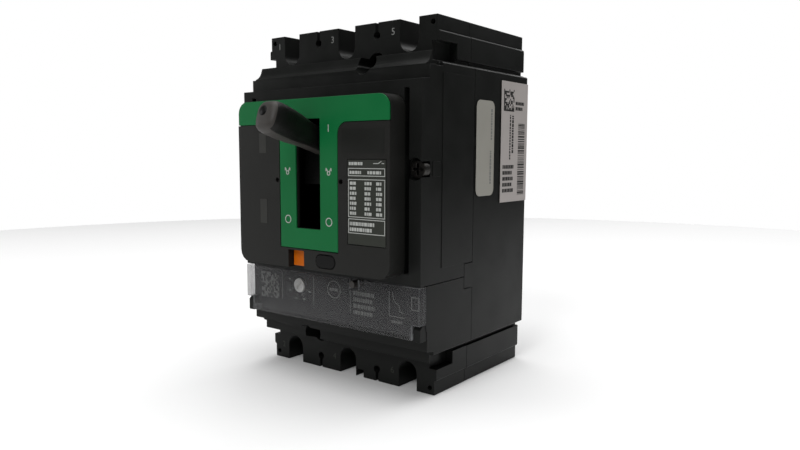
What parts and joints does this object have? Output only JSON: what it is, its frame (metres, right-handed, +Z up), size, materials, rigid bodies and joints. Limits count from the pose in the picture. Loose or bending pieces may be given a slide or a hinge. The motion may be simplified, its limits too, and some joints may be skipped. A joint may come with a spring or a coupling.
{
  "type": "three-pole moulded-case circuit breaker",
  "caption": "Charcoal moulded-case circuit breaker with green toggle surround, stepped covers, U-slotted terminal ends, clear trip-setting cover and a working internal mechanism",
  "frame": {"origin": "middle of the flat back that sits on the mounting panel", "axes": "+X to the right across the poles, +Y into the panel, +Z up towards the line terminals"},
  "size_m": [0.1061, 0.1267, 0.161],
  "materials": {
    "charcoal_moulding": "moulded charcoal thermoset, satin",
    "black_moulding": "black moulding",
    "green_plastic": "moulded green surround",
    "warm_grey_plastic": "warm grey fine-textured moulding",
    "grey_label": "grey printed label",
    "white_label": "white paper label and white dial",
    "zinc_plated_steel": "zinc-plated steel",
    "copper": "bare copper",
    "tinned_copper": "tin-plated copper strip",
    "bimetal_strip": "rolled bimetal",
    "arc_chute_fibre": "fibre-framed splitter stack",
    "red_moulding": "red-brown insulating moulding",
    "orange_plastic": "orange moulding",
    "smoky_polycarbonate": "clear smoky polycarbonate"
  },
  "bodies": {
    "case": {"rear_case": "charcoal_moulding", "main_cover": "charcoal_moulding", "accessory_cover": "charcoal_moulding", "green_overlay": "green_plastic", "rating_plate": "warm_grey_plastic", "oval_plug": "black_moulding", "side_label_grey": "grey_label", "side_label_white": "white_label", "cover_screw_left": "zinc_plated_steel", "cover_screw_right": "zinc_plated_steel", "seal_stud": "warm_grey_plastic", "trip_unit_case": "charcoal_moulding", "mechanism_plate_left": "zinc_plated_steel", "mechanism_plate_right": "zinc_plated_steel", "cradle_pin": "zinc_plated_steel", "line_terminal_1": "tinned_copper", "line_terminal_3": "tinned_copper", "line_terminal_5": "tinned_copper", "load_terminal_2": "tinned_copper", "load_terminal_4": "tinned_copper", "load_terminal_6": "tinned_copper", "line_screw_1": "zinc_plated_steel", "line_screw_3": "zinc_plated_steel", "line_screw_5": "zinc_plated_steel", "load_screw_2": "zinc_plated_steel", "load_screw_4": "zinc_plated_steel", "load_screw_6": "zinc_plated_steel", "arc_chute_upper_1": "arc_chute_fibre", "arc_chute_upper_2": "arc_chute_fibre", "arc_chute_upper_3": "arc_chute_fibre", "arc_chute_lower_1": "arc_chute_fibre", "arc_chute_lower_2": "arc_chute_fibre", "arc_chute_lower_3": "arc_chute_fibre", "bimetal_1": "bimetal_strip", "bimetal_2": "bimetal_strip", "bimetal_3": "bimetal_strip", "magnet_yoke_1": "zinc_plated_steel", "magnet_yoke_2": "zinc_plated_steel", "magnet_yoke_3": "zinc_plated_steel", "button_spring": "zinc_plated_steel"},
    "toggle": {"toggle_handle": "warm_grey_plastic", "handle_yoke": "zinc_plated_steel", "main_spring_left": "zinc_plated_steel", "main_spring_right": "zinc_plated_steel"},
    "contact_shaft_set": {"contact_shaft": "zinc_plated_steel", "contact_rotor_1": "red_moulding", "contact_rotor_2": "red_moulding", "contact_rotor_3": "red_moulding", "moving_contact_1": "copper", "moving_contact_2": "copper", "moving_contact_3": "copper"},
    "cradle": {"latch_cradle": "zinc_plated_steel"},
    "upper_link": {"upper_link": "zinc_plated_steel"},
    "lower_link": {"lower_link": "zinc_plated_steel"},
    "trip_bar": {"trip_bar": "black_moulding"},
    "trip_button": {"push_to_trip_button": "orange_plastic"},
    "clear_cover": {"clear_trip_cover": "smoky_polycarbonate"},
    "dial": {"current_dial": "white_label"}
  },
  "joints": [
    {"name": "toggle_throw", "type": "hinge", "parent": "case", "child": "toggle", "pos_m": [0, -0.05, 0.01475], "axis": [1, 0, 0], "range_deg": [0, 36.2], "deforming": ["main_spring_left", "main_spring_right"]},
    {"name": "contact_turn", "type": "hinge", "parent": "case", "child": "contact_shaft_set", "pos_m": [0, -0.022, 0.004], "axis": [1, 0, 0], "range_deg": [0, 40.2]},
    {"name": "cradle_swing", "type": "hinge", "parent": "case", "child": "cradle", "pos_m": [0, -0.044, 0.038], "axis": [1, 0, 0], "range_deg": [-15, 0]},
    {"name": "upper_link_swing", "type": "hinge", "parent": "cradle", "child": "upper_link", "pos_m": [0, -0.066, 0.034], "axis": [1, 0, 0], "range_deg": [-31, 0]},
    {"name": "lower_link_swing", "type": "hinge", "parent": "contact_shaft_set", "child": "lower_link", "pos_m": [0, -0.018, 0.013], "axis": [1, 0, 0], "range_deg": [-14, 0]},
    {"name": "trip_bar_turn", "type": "hinge", "parent": "case", "child": "trip_bar", "pos_m": [0, -0.06, -0.036], "axis": [1, 0, 0], "range_deg": [-12.5, 0]},
    {"name": "button_press", "type": "slide", "parent": "case", "child": "trip_button", "axis": [0, 1, 0], "range_m": [0, 0.0025], "stiffness_N_per_m": 400, "deforming": ["button_spring"]},
    {"name": "cover_swing", "type": "hinge", "parent": "case", "child": "clear_cover", "pos_m": [0, -0.0876, -0.0518], "axis": [1, 0, 0], "range_deg": [0, 100]},
    {"name": "dial_turn", "type": "hinge", "parent": "case", "child": "dial", "pos_m": [-0.0207, -0.086, -0.0386], "axis": [0, 1, 0], "range_deg": [-90, 90]}
  ],
  "couplings": [
    {"joint": "contact_turn", "follows": "toggle_throw", "ratio": 1.105},
    {"joint": "upper_link_swing", "follows": "toggle_throw", "ratio": -0.843},
    {"joint": "lower_link_swing", "follows": "toggle_throw", "ratio": -0.378},
    {"joint": "trip_bar_turn", "follows": "button_press", "rad_per_m": -85}
  ]
}
